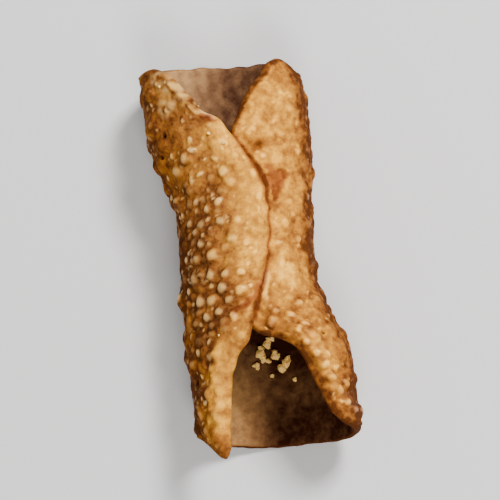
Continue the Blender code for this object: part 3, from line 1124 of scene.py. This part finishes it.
# Orange where the dough is bared, and also on the seam crevice's painted shade
orange = blend(tree, spread(tree, baked_and_shaded, low=0.40, high=1.05), BARED_LIGHT, BARED_DARK)
colour = blend(tree, reckon(tree, "MULTIPLY", noted(tree, "bared_and_shade"), BARED_SHARE), colour, orange)
lining_baked_and_shaded = reckon(tree, "MULTIPLY_ADD", mottle, LINING_MOTTLE, noted(tree, "toast_and_shading"))
lining_colour = colours(tree, lining_baked_and_shaded, LINING_COLOURS)
colour = blend(tree, noted(tree, "inside"), colour, lining_colour)
colour = blend(tree, noted(tree, "warm"), colour, FAT_TINT, "MULTIPLY")
colour = blend(tree, noted(tree, "pit"), colour, PIT_COLOUR)
tree.links.new(colour, surface.inputs["Base Color"])

rough = spread(tree, mottle, low=-0.2, high=0.2, out_low=0.55, out_high=0.75)
rough = reckon(tree, "MULTIPLY_ADD", top, TOPS_ROUGHER, rough)
tree.links.new(rough, surface.inputs["Roughness"])
glossy = reckon(tree, "MULTIPLY_ADD", top, TOPS_IOR, PLAIN_IOR)
tree.links.new(glossy, surface.inputs["IOR"])
tree.links.new(grain.outputs["Normal"], surface.inputs["Normal"])
crust.data.materials.clear()
crust.data.materials.append(fried)

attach(crust, "root")
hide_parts("shell")


# ---- The crumbs ----------------------------------------------------------------------
# Bits broken off fried dough. A few large ones lie on the floor of the near mouth, and
# small flecks have stuck to the left flap. Each is closed, and pressed into the crust.

CRUMB_SEED = 5
FLECK_SEED = 4

# On the mouth's floor: millimetres across, millimetres along, and how wide each is
MOUTH_CRUMBS = (
    (0.5, -22.6, 3.0), (-3.0, -24.6, 3.3), (-2.6, -26.0, 2.6), (-1.2, -27.2, 2.6), (0.9, -27.0, 3.7),
    (3.8, -29.2, 4.0), (-4.2, -28.6, 2.4), (-0.1, -31.8, 1.2), (6.0, -33.8, 1.1),
)
FLECKS = 9
FLECK_WIDTHS = (0.5, 1.0)
FLECKS_FALL_FROM = 0.06
FLATTEST = 0.5

# A crumb wider than this is several lumps grown together. Sizes, spread and sink are in
# shares of its width or radius, and the tilt is in radians.
SINGLE_WIDTH = 0.0015
LUMPS = 3
LUMP_SIZES = (0.5, 0.75)
LUMP_SPREAD = 0.3
LUMP_SIDES = ((0.75, 1.15), (0.75, 1.15), (0.6, 0.9))
SINK = 0.35
SINK_VARIES = (0.75, 1.0)
JAG_HEIGHT = 0.75
JAG_FINENESS = 1.1
NOISE_SPREAD = 50
MOST_TILT = 2

crust_tree = BVHTree.FromObject(crust, bpy.context.evaluated_depsgraph_get())
mesh = bmesh.new()


def add_crumb(draw, across, forward, start_height, width):
    """A jagged crumb where a straight drop from this height meets the crust."""
    start = Vector((across, forward, start_height))
    landing, normal, _, _ = crust_tree.ray_cast(start, Vector((0, 0, -1)))
    if landing is None or normal.z < FLATTEST:
        return
    parts = LUMPS if width > SINGLE_WIDTH else 1
    for _ in range(parts):
        radius = width / 2 * (1 if parts == 1 else draw.uniform(*LUMP_SIZES))
        aside = [draw.uniform(-1, 1) * width * LUMP_SPREAD * (parts > 1) for _ in range(2)]
        raised = normal * radius * (1 - SINK) * draw.uniform(*SINK_VARIES)
        middle = landing + Vector((*aside, 0)) + raised
        lump = bmesh.ops.create_icosphere(mesh, subdivisions=2, radius=1)["verts"]
        noise_place = Vector([draw.uniform(0, NOISE_SPREAD) for _ in range(3)])
        turn = Matrix.Rotation(draw.uniform(0, 2 * math.pi), 3, "Z")
        turn = turn @ Matrix.Rotation(draw.uniform(0, MOST_TILT), 3, "X")
        sides = Vector([draw.uniform(*share) for share in LUMP_SIDES])
        for corner in lump:
            jag = 1 + JAG_HEIGHT * noise.noise(corner.co * JAG_FINENESS + noise_place)
            corner.co = middle + turn @ (corner.co * sides) * radius * jag


crumb_draw = random.Random(CRUMB_SEED)
for across, forward, width in MOUTH_CRUMBS:
    add_crumb(crumb_draw, across / 1000, forward / 1000, WAIST_RADIUS, width / 1000)
fleck_draw = random.Random(FLECK_SEED)
for _ in range(FLECKS):
    width = fleck_draw.uniform(*FLECK_WIDTHS) / 1000
    across = fleck_draw.uniform(cad_low.x, 0)
    forward = fleck_draw.uniform(cad_low.y, cad_high.y)
    add_crumb(fleck_draw, across, forward, FLECKS_FALL_FROM, width)

crumbs = bpy.data.objects.new("crumbs", bpy.data.meshes.new("crumbs"))
mesh.to_mesh(crumbs.data)
mesh.free()
bpy.context.scene.collection.objects.link(crumbs)

# Cream where they broke, browner in patches
CRUMB_CREAM = tint(255, 206, 112)
CRUMB_BROWN = tint(240, 158, 70)
CRUMB_ROUGHNESS = 0.55
CRUMB_IOR = 1.45
CRUMB_BUMPINESS = 0.7
broken = bpy.data.materials.new("broken_dough")
broken.use_nodes = True
tree = broken.node_tree
surface = tree.nodes["Principled BSDF"]
grain = tree.nodes.new("ShaderNodeGroup")
grain.node_tree = dough
grain.inputs["Bumpiness"].default_value = CRUMB_BUMPINESS
browned = spread(tree, grain.outputs["Mottle"], low=0.0, high=0.25)
colour = blend(tree, browned, CRUMB_CREAM, CRUMB_BROWN)
tree.links.new(colour, surface.inputs["Base Color"])
surface.inputs["Roughness"].default_value = CRUMB_ROUGHNESS
surface.inputs["IOR"].default_value = CRUMB_IOR
tree.links.new(grain.outputs["Normal"], surface.inputs["Normal"])
crumbs.data.materials.append(broken)

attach(crumbs, "root")


# ---- Floor, light and camera ---------------------------------------------------------
# A plain pale floor, a soft key light from the far right, a weaker fill from the near
# side, and the camera above the near mouth, a little to the right.

FLOOR_SIZE = 4.0
FLOOR_COLOUR = tint(216, 215, 213)
FLOOR_ROUGHNESS = 0.85
bpy.ops.object.select_all(action="DESELECT")
bpy.ops.mesh.primitive_plane_add(size=FLOOR_SIZE)
floor = bpy.context.object
floor.name = "floor"
painted = bpy.data.materials.new("pale_floor")
painted.use_nodes = True
surface = painted.node_tree.nodes["Principled BSDF"]
surface.inputs["Base Color"].default_value = FLOOR_COLOUR
surface.inputs["Roughness"].default_value = FLOOR_ROUGHNESS
floor.data.materials.append(painted)

# Each light's name, place from the shell's middle, size in metres and power in watts
MIDDLE = Vector((0, 0, 0.0165))
LIGHTS = (
    ("key", (0.46, 0.42, 0.80), 0.24, 17),
    ("fill", (0.10, -0.60, 0.75), 0.35, 6),
)
for name, place, size, power in LIGHTS:
    lamp = bpy.data.lights.new(name, "AREA")
    lamp.size = size
    lamp.energy = power
    stand = bpy.data.objects.new(name, lamp)
    stand.location = MIDDLE + Vector(place)
    stand.rotation_euler = Vector(place).to_track_quat("Z", "Y").to_euler()
    bpy.context.scene.collection.objects.link(stand)

ROOM_LIGHT = 0.42
world = bpy.data.worlds.new("studio")
world.use_nodes = True
background = world.node_tree.nodes["Background"]
background.inputs["Color"].default_value = (1, 1, 1, 1)
background.inputs["Strength"].default_value = ROOM_LIGHT
bpy.context.scene.world = world

# The shell's length takes up this share of the picture
CAMERA_PLACE = Vector((0.0619, -0.1022, 0.6000))
PICTURE_UP = Vector((0.1305, 0.9914, 0))
SHELL_SHARE = 0.82
SENSOR_WIDTH = 36
lens = bpy.data.cameras.new("camera")
camera = bpy.data.objects.new("camera", lens)
backwards = (CAMERA_PLACE - MIDDLE).normalized()
upwards = (PICTURE_UP - backwards * PICTURE_UP.dot(backwards)).normalized()
turned = Matrix((upwards.cross(backwards), upwards, backwards)).transposed()
camera.matrix_world = Matrix.Translation(CAMERA_PLACE) @ turned.to_4x4()
shell_length = cad_high.y - cad_low.y
lens.sensor_width = SENSOR_WIDTH
lens.lens = SENSOR_WIDTH * SHELL_SHARE * (CAMERA_PLACE - MIDDLE).length / shell_length
bpy.context.scene.collection.objects.link(camera)
bpy.context.scene.camera = camera
